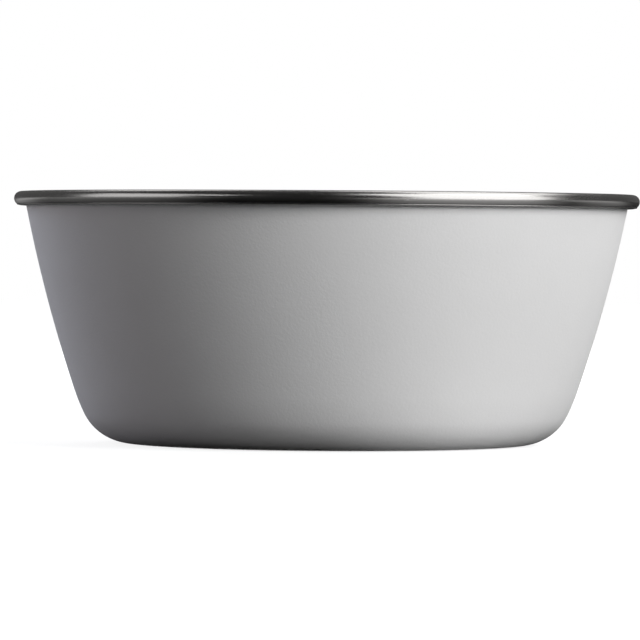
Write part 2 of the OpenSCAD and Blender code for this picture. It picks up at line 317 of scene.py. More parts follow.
class Outline:
    """Profile that a pen draws in the XZ plane, to be turned about the Z axis."""

    def __init__(self, x: float, z: float) -> None:
        """Put the pen on its first point.

        Args:
            x: Distance of the point from the axis.
            z: Height of the point.
        """
        self.mesh = bmesh.new()
        self.pen = self.first = self.mesh.verts.new((x, 0, z))
        self.rounds: list[tuple[BMVert, float]] = []
        self.closed = False

    def line(self, x: float, z: float, radius: float = 0.0) -> "Outline":
        """Draw a straight line to a point.

        Args:
            x: Distance of the point from the axis.
            z: Height of the point.
            radius: Radius that rounds the corner there.

        Returns:
            The outline itself.
        """
        self.pen = bmesh.ops.extrude_vert_indiv(self.mesh, verts=[self.pen])["verts"][0]
        self.pen.co = (x, 0, z)
        if radius:
            self.rounds.append((self.pen, radius))
        return self

    def arc(self, centre: Point, angle: float, steps: int) -> "Outline":
        """Draw an arc from the pen's point.

        Args:
            centre: Centre of the arc, as distance from the axis and height.
            angle: Turn of the arc in radians, anticlockwise with X to the right and Z up.
            steps: Straight steps along the arc.

        Returns:
            The outline itself.
        """
        swept = bmesh.ops.spin(
            self.mesh, geom=[self.pen], cent=(centre[0], 0, centre[1]), axis=(0, -1, 0), angle=angle,
            steps=steps,
        )
        self.pen = swept["geom_last"][0]
        return self

    def close(self) -> "Outline":
        """Draw a straight line back to the first point.

        Returns:
            The outline itself.
        """
        self.mesh.edges.new((self.pen, self.first))
        self.closed = True
        return self

    def soften(self, steps: int = SOFT_STEPS) -> "Outline":
        """Round every corner that was drawn with a radius.

        Args:
            steps: Straight steps round each corner.

        Returns:
            The outline itself.
        """
        for corner, radius in self.rounds:
            arms = [(edge.other_vert(corner).co - corner.co) for edge in corner.link_edges]
            round_off(self.mesh, [corner], radius / math.tan(arms[0].angle(arms[1]) / 2), steps, "VERTICES")
        return self

    def turn(self, steps: int = TURN_STEPS) -> BMesh:
        """Turn the profile about the Z axis.

        An open profile gets faces that look to the left of the pen's first line, and a closed one gets
        faces that look outwards.

        Args:
            steps: Facets round the axis.

        Returns:
            The turned mesh, with its poles merged.
        """
        first, second = self.first.co.copy(), self.first.link_edges[0].other_vert(self.first).co.copy()
        bmesh.ops.spin(
            self.mesh, geom=[*self.mesh.verts, *self.mesh.edges], cent=(0, 0, 0), axis=(0, 0, 1),
            angle=math.tau, steps=steps, use_merge=True,
        )
        bmesh.ops.remove_doubles(self.mesh, verts=self.mesh.verts, dist=MERGE_GAP)
        axis = [edge for edge in self.mesh.edges if edge.is_wire]
        bmesh.ops.delete(self.mesh, geom=axis, context="EDGES")
        bmesh.ops.recalc_face_normals(self.mesh, faces=self.mesh.faces)
        if not self.closed:
            along, middle = second - first, (first + second) / 2
            nearest = min(self.mesh.faces, key=lambda face: (face.calc_center_median() - middle).length)
            if nearest.normal.dot(Vector((-along.z, 0, along.x))) < 0:
                bmesh.ops.reverse_faces(self.mesh, faces=self.mesh.faces)
        return self.mesh


class BentWire:
    """Round wire that is drawn out straight and bent, step by step."""

    def __init__(self, start: Vector, radius: float) -> None:
        """Start the wire with an end face, heading along +X.

        Args:
            start: Middle of the end face.
            radius: Radius of the wire.
        """
        self.mesh = bmesh.new()
        place = Matrix.Translation(start) @ Matrix.Rotation(math.pi / 2, 4, "Y")
        bmesh.ops.create_circle(self.mesh, cap_ends=True, radius=radius, segments=POST_STEPS, matrix=place)
        self.tip = list(self.mesh.edges)

    def straight(self, way: Vector) -> "BentWire":
        """Draw the wire out along a vector."""
        self.tip = grow_loop(self.mesh, self.tip, Vector(), (1, 1), way)
        return self

    def bend(self, centre: Vector, degrees: float, steps: int = 14) -> "BentWire":
        """Bend the wire round a centre in its flat plane.

        Args:
            centre: Centre of the bend.
            degrees: Turn of the bend, anticlockwise from above.
            steps: Rings along the bend.

        Returns:
            The wire itself.
        """
        geom = [*self.tip, *{vert for edge in self.tip for vert in edge.verts}]
        swept = bmesh.ops.spin(
            self.mesh, geom=geom, cent=centre, axis=(0, 0, 1), angle=math.radians(degrees), steps=steps
        )
        self.tip = pick(swept["geom_last"], BMEdge)
        return self

    def end(self, chamfer: float) -> BMesh:
        """Close the wire and take the edge off both its ends.

        Args:
            chamfer: Width of the rounding at the ends.

        Returns:
            The wire's closed mesh.
        """
        bmesh.ops.edgeloop_fill(self.mesh, edges=self.tip)
        bmesh.ops.recalc_face_normals(self.mesh, faces=self.mesh.faces)
        caps = [face for face in self.mesh.faces if len(face.verts) > 4]
        round_off(self.mesh, [edge for face in caps for edge in face.edges], chamfer, EDGE_STEPS)
        return self.mesh


def pick(items: list, kind: type) -> list:
    """Give those of an operator's results that are of one kind."""
    return [item for item in items if isinstance(item, kind)]


def round_off(mesh: BMesh, geom: list, offset: float, steps: int, affect: str = "EDGES") -> None:
    """Round edges or corners of a mesh.

    Args:
        mesh: Mesh to change.
        geom: Its edges or corners.
        offset: Distance from them at which the rounding starts.
        steps: Straight steps round each.
        affect: Blender's name of what is rounded.
    """
    bmesh.ops.bevel(
        mesh, geom=geom, offset=offset, offset_type="OFFSET", segments=steps, profile=0.5, affect=affect,
        material=-1,
    )


def grow_loop(mesh: BMesh, loop: list[BMEdge], centre: Vector, widen: Point, way: Vector) -> list[BMEdge]:
    """Draw a loop of edges out into a band of faces.

    Args:
        mesh: Mesh that holds the loop.
        loop: Edges of the loop.
        centre: Point about which the new loop is widened.
        widen: Factors of the new loop's size along X and Y.
        way: Step from the old loop to the new one.

    Returns:
        The edges of the new loop.
    """
    grown = bmesh.ops.extrude_edge_only(mesh, edges=loop)["geom"]
    verts = pick(grown, BMVert)
    bmesh.ops.scale(mesh, verts=verts, vec=(*widen, 1), space=Matrix.Translation(-centre))
    bmesh.ops.translate(mesh, verts=verts, vec=way)
    return [edge for edge in pick(grown, BMEdge) if all(vert in verts for vert in edge.verts)]


def add_object(name: str, mesh: BMesh, materials: list[Material]) -> Object:
    """Make a mesh into an object of the scene.

    Args:
        name: Name of the object.
        mesh: Its mesh, in place. It is freed.
        materials: Its materials, in the order of the mesh's material indices.

    Returns:
        The object.
    """
    data = bpy.data.meshes.new(name)
    mesh.to_mesh(data)
    mesh.free()
    for material in materials:
        data.materials.append(material)
    thing = bpy.data.objects.new(name, data)
    bpy.context.scene.collection.objects.link(thing)
    return thing


def give_thickness(piece: Object, thickness: float, inner_finish: int = 0) -> None:
    """Give a sheet its thickness, behind the faces that are there.

    Args:
        piece: Piece whose mesh is one face of the sheet.
        thickness: Thickness of the sheet.
        inner_finish: Step from a face's material index to that of the face behind it.
    """
    sheet = piece.modifiers.new("sheet", "SOLIDIFY")
    sheet.thickness, sheet.offset = thickness, -1
    sheet.use_even_offset = sheet.use_quality_normals = True
    sheet.material_offset = inner_finish


def fuse(mesh: BMesh, others: list[BMesh], thickness: float = 0.0) -> BMesh:
    """Unite closed meshes into one, with nothing left of them inside it.

    Args:
        mesh: Main mesh. It is freed.
        others: Meshes that grow out of it. They are freed.
        thickness: Thickness that the main mesh gets first, where it is one face of a sheet.

    Returns:
        The united mesh.
    """
    helpers = [add_object("helper", part, []) for part in (mesh, *others)]
    if thickness:
        give_thickness(helpers[0], thickness)
    for other in helpers[1:]:
        union = helpers[0].modifiers.new("union", "BOOLEAN")
        union.operation, union.solver, union.object = "UNION", "EXACT", other
    united = bmesh.new()
    united.from_object(helpers[0], bpy.context.evaluated_depsgraph_get())
    for data in [helper.data for helper in helpers]:
        bpy.data.meshes.remove(data)
    bmesh.ops.remove_doubles(united, verts=united.verts, dist=MERGE_GAP)
    return united


def add_piece(
    name: str, mesh: BMesh, body: Body, finishes: list[Finish], sheet: float = 0.0
) -> None:
    """Make a mesh into a finished piece that stands for the frame's node of the same name.

    Wide flat faces keep their own shading next to narrow roundings.

    Args:
        name: Node that the piece replaces.
        mesh: Mesh of the piece, in place. It is freed.
        body: Body that the piece rides on.
        finishes: Finishes, in the order of the mesh's material indices.
        sheet: Thickness of the sheet whose outer face the mesh is, which has the next finish behind it.
    """
    for face in mesh.faces:
        face.smooth = True
    for edge in mesh.edges:
        edge.smooth = not (len(edge.link_faces) == 2 and edge.calc_face_angle(0) > SHARP_ANGLE)
    piece = add_object(name + "_piece", mesh, [finish.material() for finish in finishes])
    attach(piece, body.value)
    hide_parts(name)
    if sheet:
        give_thickness(piece, sheet, inner_finish=1)
    piece.modifiers.new("face_weights", "WEIGHTED_NORMAL").keep_sharp = True
    LOG.info("%s rides on %s with %d faces", name, body.value, len(piece.data.polygons))


def dress_node(node: Object, finish: Finish) -> None:
    """Put a finish on a node of the frame that keeps its own shape.

    Args:
        node: Object of the node.
        finish: The finish.
    """
    node.data.materials.clear()
    node.data.materials.append(finish.material())
    LOG.info("%s keeps its shape and gets %s", node.name, finish.name)


@dataclass(frozen=True)
class WallForm:
    """Driving sizes of the bowl's two skins, and the curves that follow from them."""

    rim_r: float
    height: float
    bead_r: float = 0.00175
    lean: float = math.radians(11)
    bow_r: float = 0.350
    sheet: float = 0.0004
    weld_gap: float = 0.00005
    vacuum_gap: float = 0.004
    base_gap: float = 0.0045
    recess_h: float = 0.0018
    ledge_depth: float = 0.0105

    @property
    def bead_centre(self) -> Point:
        """Centre of the rolled rim's section."""
        return self.rim_r - self.bead_r, self.height - self.bead_r

    @property
    def land_inset(self) -> float:
        """Depth of the liner's inner face above the ledge, from the shell's outer face."""
        return 2 * self.sheet + self.weld_gap

    @property
    def well_inset(self) -> float:
        """Depth of the liner's inner face below the ledge, from the shell's outer face."""
        return 2 * self.sheet + self.vacuum_gap

    @property
    def bow_centre(self) -> Point:
        """Centre of the wall's bow."""
        reach, (x, z) = self.bead_r - self.land_inset + self.bow_r, self.bead_centre
        return x - reach * math.cos(self.lean), z + reach * math.sin(self.lean)

    @property
    def floor_z(self) -> float:
        """Height of the liner's floor."""
        return self.recess_h + 2 * self.sheet + self.base_gap

    @property
    def ledge_z(self) -> float:
        """Height of the ledge that the lid rests on."""
        return self.height - self.ledge_depth

    def radius(self, z: float, inset: float) -> float:
        """Give the wall's radius at a height, on a face at an inset from the outer face."""
        x, centre_z = self.bow_centre
        return x + math.sqrt((self.bow_r - inset) ** 2 - (z - centre_z) ** 2)

    def angle(self, z: float, inset: float) -> float:
        """Give the angle on the wall's bow at a height, on a face at an inset."""
        return math.asin((z - self.bow_centre[1]) / (self.bow_r - inset))


def corner_in(centre: Point, radius: float, corner_r: float, floor: float) -> tuple[Point, float]:
    """Find the corner that joins a bowed wall to a floor.

    Args:
        centre: Centre of the wall's bow.
        radius: Radius of the wall's bow.
        corner_r: Radius of the corner.
        floor: Height of the floor.

    Returns:
        The corner's centre, and the angle at which it runs into the wall.
    """
    rise = floor + corner_r - centre[1]
    run = math.sqrt((radius - corner_r) ** 2 - rise ** 2)
    return (centre[0] + run, floor + corner_r), math.atan2(rise, run)


@dataclass
class Bowl:
    """Double-walled bowl: coated shell, steel liner with rolled rim, and what the vacuum holds."""

    wall: WallForm
    # Shell, whose wall turns softly towards its corner
    shell_bow_r: float = 0.366
    top_drop_share: float = 1 / 3
    blend_z: float = 0.0132
    blend_r: float = 0.050
    corner_r: float = 0.01293
    # Base, with its recess, its sealed port and its cover
    recess_r: float = 0.03953
    recess_run: float = 0.0016
    base_bend_r: float = 0.0012
    dimple_r: float = 0.006
    dimple_run: float = 0.001
    dimple_h: float = 0.001
    port_r: float = 0.001
    cover_edge_r: float = 0.00012
    # Liner, whose roll is dull and darkened with painted shade from an angle below its middle and ends at a
    # hairline bead
    liner_corner_r: float = 0.014
    ledge_bend_r: float = 0.0012
    polish_share: float = 2.0
    dull_shade_at: float = math.radians(48)
    dull_shade_reach_share: float = 0.6
    dull_shade_depth_share: float = 1.01
    seam_at: float = math.radians(58)
    seam_r: float = 0.00012
    seam_shift: tuple[float, float, float] = (0.00005, -0.00004, 0)
    # Finishes
    coat: Finish = Finish(
        "powder_coat", (0.80, 0.80, 0.80), 0.55,
        (Texture(0.00062, 3.0, 0.55, gloss=(-0.015, 0.015), relief=0.000042), Texture(1 / 90, shade=0.985)),
        (("IOR", 1.5),),
    )
    steel: Finish = Finish(
        "spun_steel", (0.61, 0.602, 0.594), 0.27,
        (
            Texture(0.00018, 3.0, 0.6, Pattern.RINGS, 3, shade=0.93, gloss=(-0.05, 0.05), relief=0.0000022),
            Texture(1 / 45, 3.0, gloss=(-0.02, 0.04)),
        ),
        METAL,
    )
    # Steel under the roll: its dark colour is painted shade under the rim, while its roughness and grit are
    # the metal's own
    edge: Finish = Finish(
        "dull_roll_underside_painted_shade", (0.22, 0.217, 0.213), 0.44,
        (Texture(0.0006, 3.0, 0.6, shade=0.6, gloss=(-0.1, 0.1), relief=0.00005),), METAL,
    )
    rim: Finish = Finish(
        "polished_steel", (0.633, 0.62, 0.608), 0.24,
        (
            Texture(1 / 60, 4.0, 0.6, shade=0.95, gloss=(-0.025, 0.03)),
            Texture(1 / 3000, pattern=Pattern.RINGS, turn=6, gloss=(-0.01, 0.015), relief=0.0000006),
            Texture(0.0004, relief=0.000004),
        ),
        METAL,
    )
    foil: Finish = Finish(
        "copper_foil", (0.72, 0.36, 0.22), 0.28,
        (Texture(1 / 250, 4.0, 0.6, shade=0.8, gloss=(-0.06, 0.06), relief=0.00001),), METAL,
    )
    pill: Finish = Finish(
        "getter_pill", (0.16, 0.16, 0.17), 0.6,
        (Texture(1 / 3000, 4.0, 0.6, shade=0.8, gloss=(-0.06, 0.06), relief=0.00001),), METAL,
    )
    glass: Finish = Finish(
        "solder_glass", (0.06, 0.07, 0.08), 0.15,
        (Texture(0.0008, pattern=Pattern.CELLS, shade=0.75, relief=0.00001),),
    )

    def build(self, nodes: dict) -> None:
        """Build every piece of the bowl, and dress what the vacuum holds.

        Args:
            nodes: Objects of the frame's nodes by name.
        """
        self.build_shell()
        self.build_liner()
        self.build_base_cover()
        vacuum = {
            "heat_foil": self.foil, "getter": self.pill, "getter_clip": self.steel, "seal_bead": self.glass,
        }
        for name, finish in vacuum.items():
            dress_node(nodes[name], finish)

    def build_shell(self) -> None:
        """Build the outer skin, coated outside and bare towards the vacuum."""
        wall = replace(self.wall, bow_r=self.shell_bow_r)
        bow_x, bow_z = wall.bow_centre
        top = -wall.lean - self.top_drop_share * wall.bead_r / wall.bow_r
        start = wall.angle(self.blend_z, 0)
        step = wall.bow_r - self.blend_r
        blend = bow_x + step * math.cos(start), bow_z + step * math.sin(start)
        corner, turn = corner_in(blend, self.blend_r, self.corner_r, 0)
        dimple_z = wall.recess_h + self.dimple_h
        face = Outline(bow_x + wall.bow_r * math.cos(top), bow_z + wall.bow_r * math.sin(top))
        face.arc(wall.bow_centre, start - top, WALL_STEPS).arc(blend, turn - start, BLEND_STEPS)
        face.arc(corner, -turn - math.pi / 2, CORNER_STEPS)
        for x, z in (
            (self.recess_r, 0), (self.recess_r - self.recess_run, wall.recess_h),
            (self.dimple_r + self.dimple_run, wall.recess_h), (self.dimple_r, dimple_z),
        ):
            face.line(x, z, self.base_bend_r)
        mesh = face.line(self.port_r, dimple_z).soften().turn()
        add_piece("outer_shell", mesh, Body.BOWL, [self.coat, self.steel], wall.sheet)

    def build_liner(self) -> None:
        """Build the inner skin with the lid's ledge and the rolled rim."""
        wall, bend = self.wall, self.ledge_bend_r
        bow_r = wall.bow_r - wall.well_inset
        centre, turn = corner_in(wall.bow_centre, bow_r, self.liner_corner_r, wall.floor_z)
        below, above = wall.ledge_z - 2 * bend, wall.ledge_z + 2 * bend
        gap = wall.bead_r - wall.land_inset - wall.weld_gap
        roll = math.tau - math.acos(gap / wall.bead_r)
        face = Outline(0, wall.floor_z).line(centre[0], wall.floor_z)
        face.arc(centre, turn + math.pi / 2, CORNER_STEPS)
        face.arc(wall.bow_centre, wall.angle(below, wall.well_inset) - turn, WALL_STEPS)
        for inset in (wall.well_inset, wall.land_inset):
            face.line(wall.radius(wall.ledge_z, inset), wall.ledge_z, bend)
        face.line(wall.radius(above, wall.land_inset), above)
        face.arc(wall.bow_centre, -wall.lean - wall.angle(above, wall.land_inset), LAND_STEPS)
        face.arc(wall.bead_centre, -roll, ROLL_STEPS)
        mesh = fuse(face.soften().turn(), [self.make_seam()], wall.sheet)
        for skin in mesh.faces:
            skin.material_index = self.liner_finish(skin.calc_center_median())
        # The third finish darkens the roll's underside with painted shade
        add_piece("inner_liner", mesh, Body.BOWL, [self.steel, self.rim, self.edge])

    def make_seam(self) -> BMesh:
        """Make the hairline bead that closes the gap under the rolled rim.

        Returns:
            The bead's closed mesh, in place.
        """
        x, z = self.wall.bead_centre
        x += self.wall.bead_r * math.cos(self.seam_at)
        z -= self.wall.bead_r * math.sin(self.seam_at)
        last = SEAM_STEPS - 1
        ring = Outline(x + self.seam_r, z).arc((x, z), math.tau * last / SEAM_STEPS, last).close().turn()
        bmesh.ops.translate(ring, verts=ring.verts, vec=self.seam_shift)
        return ring

    def liner_finish(self, place: Vector) -> int:
        """Tell which finish the liner has at a point.

        Args:
            place: The point.

        Returns:
            0 in the well, 1 on the polished rim and 2 under its roll, where the dark finish is painted
            shade.
        """
        bead_r, (rim_x, rim_z) = self.wall.bead_r, self.wall.bead_centre
        reach, rise = place.xy.length - rim_x, place.z - rim_z
        under = rise < -bead_r * math.sin(self.dull_shade_at) and reach > -self.dull_shade_reach_share * bead_r
        if under and math.hypot(reach, rise) < self.dull_shade_depth_share * bead_r:
            return 2
        return int(rise > -self.polish_share * bead_r)

    def build_base_cover(self) -> None:
        """Build the disc that is bonded into the recess of the base."""
        low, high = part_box("base_cover")
        edge = self.cover_edge_r
        disc = Outline(0, low.z).line(high.x, low.z, edge).line(high.x, high.z, edge).line(0, high.z)
        mesh = disc.close().soften(FINE_STEPS).turn()
        add_piece("base_cover", mesh, Body.BOWL, [self.steel])


@dataclass
class Vent:
    """Steam plug of the lid: a dished cap that a nail can catch, on a grooved stem."""

    finish: Finish
    stem_r: float
    cap_z: float
    place_y: float
    tip_share: float = 0.75
    tip_h: float = 0.0015
    tip_edge_r: float = 0.0003
    shoulder_r: float = 0.0006
    groove_top: float = 0.002
    groove_d: float = 0.0012
    groove_w: float = 0.0024
    neck_r: float = 0.0004
    catch_w: float = 0.002
    catch_h: float = 0.001
    catch_edge_r: float = 0.0003
    cap_low_r: float = 0.0004
    cap_top_r: float = 0.0008
    dip: float = 0.0009
    dip_out: float = 0.001
    dip_in: float = 0.0006
    steps: int = 96

    def build(self) -> None:
        """Build the plug."""
        low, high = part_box("vent_plug")
        cap_r, stem_r, cap_z, top_r = high.x, self.stem_r, self.cap_z, self.cap_top_r
        groove_z = cap_z - self.groove_top
        plug = Outline(0, low.z).line(self.tip_share * stem_r, low.z, self.tip_edge_r)
        plug.line(stem_r, low.z + self.tip_h, self.shoulder_r)
        plug.line(stem_r, groove_z - self.groove_d).line(stem_r, groove_z)
        plug.line(stem_r, cap_z, self.neck_r).line(cap_r - self.catch_w, cap_z, self.catch_edge_r)
        plug.line(cap_r, cap_z + self.catch_h, self.cap_low_r).line(cap_r, high.z, top_r)
        plug.line(stem_r + self.dip_out, high.z, top_r).line(stem_r - self.dip_in, high.z - self.dip, top_r)
        mesh = plug.line(0, high.z - self.dip).close().soften().turn(self.steps)
        groove = [
            vert for vert in mesh.verts
            if abs(vert.co.y) < self.groove_w / 2 and vert.co.x > stem_r / 2
            and vert.co.z < groove_z - self.groove_d / 2
        ]
        bmesh.ops.translate(mesh, verts=groove, vec=(-self.groove_d, 0, 0))
        bmesh.ops.translate(mesh, verts=mesh.verts, vec=(0, self.place_y, 0))
        add_piece("vent_plug", mesh, Body.VENT, [self.finish])


@dataclass
class Lid:
    """Inset lid: dished cover, foam core, plug pan, gasket, folding bail and vent plug."""

    wall: WallForm
    pivot_z: float
    vent_y: float
    drop: float = 0.0018
    seat_gap: float = 0.0002
    fit_gap: float = 0.00015
    edge_gap: float = 0.0005
    # Cover, with its dish and its ring-shaped groove
    shell_t: float = 0.002
    edge_r: float = 0.0016
    edge_low_r: float = 0.0012
    dish_depth: float = 0.0075
    dish_draft: float = 0.0015
    dish_floor_r: float = 0.0025
    dish_margin: float = 0.004
    floor_open_r: float = 0.034
    ring_w: float = 0.0026
    ring_d: float = 0.0006
    ring_margin: float = 0.005
    stem_r: float = 0.0032
    stem_gap: float = 0.00015
    tube_wall: float = 0.0014
    # Bail, with the lugs and the rests that carry it
    wire_r: float = 0.0016
    wire_edge_r: float = 0.0002
    leg_x: float = 0.028
    reach: float = 0.028
    bend_r: float = 0.008
    bend_steps: int = 24
    foot_bend_r: float = 0.003
    pivot_short: float = 0.0006
    lug_wall: float = 0.0016
    lug_w: float = 0.0045
    lug_gap: float = 0.0004
    lug_play: float = 0.000064
    lug_edge_r: float = 0.00025
    root_r: float = 0.0006
    root_sink: float = 0.00002
    root_corner_r: float = 0.0004
    root_steps: int = 6
    rest_skirt_r: float = 0.003
    rest_foot_r: float = 0.002
    rest_head_r: float = 0.0017
    rest_edge_r: float = 0.0005
    # Plug pan, with the lip that keeps the gasket on
    plug_h: float = 0.0075
    pan_edge_r: float = 0.0005
    flange_edge_r: float = 0.0003
    lip_w: float = 0.001
    lip_h: float = 0.0012
    lip_edge_r: float = 0.0004
    # Gasket, with its wiping lips at shares of its height
    gasket_w: float = 0.0022
    gasket_gap: float = 0.00025
    gasket_edge_r: float = 0.0002
    band_share: float = 0.45
    wiper_shares: Point = (0.12, 0.56)
    wiper_rise_share: float = 0.2
    wiper_tip_share: float = 0.08
    wiper_root_r: float = 0.0003
    wiper_tip_r: float = 0.00012
    # Finishes
    plastic: Finish = Finish(
        "lid_plastic", (0.36, 0.37, 0.38), 0.55,
        (Texture(0.00045, 4.0, 0.65, gloss=(-0.07, 0.07), relief=0.00003), Texture(1 / 70, 3.0, shade=0.96)),
    )
    pan_plastic: Finish = Finish(
        "pan_plastic", (0.42, 0.43, 0.44), 0.45,
        (Texture(0.0007, 4.0, 0.65, gloss=(-0.07, 0.07), relief=0.00001), Texture(1 / 70, 3.0, shade=0.96)),
    )
    silicone: Finish = Finish(
        "silicone", (0.55, 0.56, 0.57), 0.5,
        (Texture(1 / 900, 4.0, 0.7, gloss=(-0.08, 0.1), relief=0.000012), Texture(1 / 120, shade=0.92)),
        (("Subsurface_Weight", 0.15), ("Subsurface_Scale", 0.001), ("Sheen_Weight", 0.15)),
    )
    wire: Finish = replace(Bowl.rim, name="wire_steel", roughness=0.16)
    foam: Finish = Finish(
        "lid_foam", (0.86, 0.8, 0.6), 0.8,
        (Texture(0.0006, pattern=Pattern.CELLS, shade=0.75, relief=0.0002),),
    )

    @property
    def top(self) -> float:
        """Height of the lid's top."""
        return self.wall.height - self.drop

    @property
    def seat(self) -> float:
        """Height of the lid's underside over the ledge."""
        return self.wall.ledge_z + self.seat_gap

    @property
    def dish_z(self) -> float:
        """Height of the dish's floor."""
        return self.top - self.dish_depth

    @property
    def plug_z(self) -> float:
        """Height of the plug's underside."""
        return self.seat - self.plug_h

    @property
    def bore_r(self) -> float:
        """Radius of the vent's bore."""
        return self.stem_r + self.stem_gap

    @property
    def lug_x(self) -> float:
        """Distance of a lug's inner face from the middle."""
        return self.leg_x + self.foot_bend_r + self.lug_gap

    @property
    def lug_r(self) -> float:
        """Radius of a lug's round head."""
        return self.wire_r + self.lug_wall

    @property
    def foot_z(self) -> float:
        """Height at which what stands on the dish's floor ends inside it."""
        return self.dish_z - self.shell_t / 2

    @property
    def dish_r(self) -> float:
        """Radius of the dish at the lid's top, which clears the lugs and the bail's corners."""
        elbow = math.hypot(self.leg_x - self.bend_r, self.reach - self.bend_r) + self.bend_r + self.wire_r
        return max(elbow, math.hypot(self.lug_x + self.lug_w, self.lug_r)) + self.dish_margin

    def edge_x(self, z: float) -> float:
        """Give the radius of the lid's edge at a height."""
        return self.wall.radius(z, self.wall.land_inset) - self.edge_gap

    def plug_r(self, z: float) -> float:
        """Give the plug's radius at a height.

        Args:
            z: The height.

        Returns:
            The radius, which leaves room for the gasket.
        """
        low, high = (self.wall.radius(end, self.wall.well_inset) for end in (self.plug_z, self.seat))
        share = (z - self.plug_z) / self.plug_h
        return low + (high - low) * share - self.gasket_gap - self.gasket_w

    def build(self, nodes: dict) -> None:
        """Build every piece of the lid, and dress its core.

        Args:
            nodes: Objects of the frame's nodes by name.
        """
        self.build_cover()
        self.build_pan()
        self.build_gasket()
        self.build_bail()
        Vent(self.silicone, self.stem_r, self.dish_z + self.seat_gap, self.vent_y).build()
        dress_node(nodes["lid_core"], self.foam)

    def build_cover(self) -> None:
        """Build the dished top moulding with the vent's tube and the bail's lugs and rests."""
        thick, edge, top, ring_d = self.shell_t, self.edge_r, self.top, self.ring_d
        low_x, top_x = self.edge_x(self.seat), self.edge_x(top)
        floor_r, under = self.dish_r - self.dish_draft, self.dish_z - thick
        ring_out = top_x - self.ring_margin
        ring_in = ring_out - self.ring_w
        section = Outline(self.floor_open_r, self.dish_z).line(floor_r, self.dish_z, self.dish_floor_r)
        section.line(self.dish_r, top, edge).line(ring_in, top, ring_d / 2)
        section.line(ring_in + ring_d, top - ring_d, ring_d / 2)
        section.line(ring_out - ring_d, top - ring_d, ring_d / 2)
        section.line(ring_out, top, ring_d / 2).line(top_x, top, edge)
        section.line(low_x, self.seat, self.edge_low_r).line(low_x - thick, self.seat)
        section.line(top_x - thick, top - thick, edge / 2).line(self.dish_r + thick, top - thick, edge / 2)
        section.line(floor_r + thick, under, self.dish_floor_r).line(self.floor_open_r, under)
        mesh = section.soften().turn()
        bore_r, tube_r = self.bore_r, self.bore_r + self.tube_wall
        tube_z = self.plug_z + thick + self.fit_gap
        self.fill_floor(mesh, [(bore_r, self.dish_z), (bore_r, tube_z), (tube_r, tube_z), (tube_r, under)])
        parts = []
        for side in (-1, 1):
            parts += [self.make_lug(side), self.make_lug_root(side)]
            parts += [self.make_rest(side * self.leg_x / 2, end * self.reach) for end in (-1, 1)]
        add_piece("lid_cover", fuse(mesh, parts), Body.LID, [self.plastic])

    def fill_floor(self, mesh: BMesh, throat: list[Point]) -> None:
        """Fill the open middle of a moulding with a flat floor, and line the vent's hole through it.

        Args:
            mesh: Mesh of the moulding.
            throat: Radius and height of each ring of the hole, from the floor's upper face to its lower.
        """
        centre = Vector((0, self.vent_y, 0))
        place = Matrix.Translation(centre + Vector((0, 0, throat[0][1])))
        ring = bmesh.ops.create_circle(mesh, radius=throat[0][0], segments=HOLE_STEPS, matrix=place)["verts"]
        rings = [list({edge for vert in ring for edge in vert.link_edges})]
        for (radius, z), (next_radius, next_z) in zip(throat, throat[1:]):
            widen = next_radius / radius
            rings.append(grow_loop(mesh, rings[-1], centre, (widen, widen), Vector((0, 0, next_z - z))))
        for loop, (_, z) in zip((rings[0], rings[-1]), (throat[0], throat[-1])):
            rim = [
                edge for edge in mesh.edges
                if edge.is_boundary and edge not in loop and abs(edge.verts[0].co.z - z) < LEVEL_GAP
            ]
            bmesh.ops.triangle_fill(mesh, use_beauty=True, edges=rim + loop)
        bmesh.ops.recalc_face_normals(mesh, faces=mesh.faces)

    def make_lug(self, side: int) -> BMesh:
        """Make one bored lug of the bail, with its foot in the dish's floor.

        Args:
            side: 1 for the lug at +X and -1 for the one at -X.

        Returns:
            The lug's closed mesh, in place.
        """
        face = Outline(-self.lug_r, self.foot_z).line(-self.lug_r, self.pivot_z)
        face.arc((0, self.pivot_z), -math.pi, LUG_STEPS).line(self.lug_r, self.foot_z).close()
        bore = Matrix.Translation((0, 0, self.pivot_z)) @ Matrix.Rotation(math.pi / 2, 4, "X")
        lug = face.mesh
        bmesh.ops.create_circle(lug, radius=self.wire_r + self.lug_play, segments=POST_STEPS, matrix=bore)
        bmesh.ops.triangle_fill(lug, use_beauty=True, edges=lug.edges)
        grown = bmesh.ops.extrude_face_region(lug, geom=lug.faces[:])["geom"]
        bmesh.ops.translate(lug, verts=pick(grown, BMVert), vec=(0, self.lug_w, 0))
        bmesh.ops.recalc_face_normals(lug, faces=lug.faces)
        rims = [edge for edge in lug.edges if edge.calc_face_angle(0) > SHARP_ANGLE]
        round_off(lug, rims, self.lug_edge_r, EDGE_STEPS)
        place = Matrix.Translation((side * self.lug_x, 0, 0)) @ Matrix.Rotation(-side * math.pi / 2, 4, "Z")
        bmesh.ops.transform(lug, matrix=place, verts=lug.verts)
        return lug

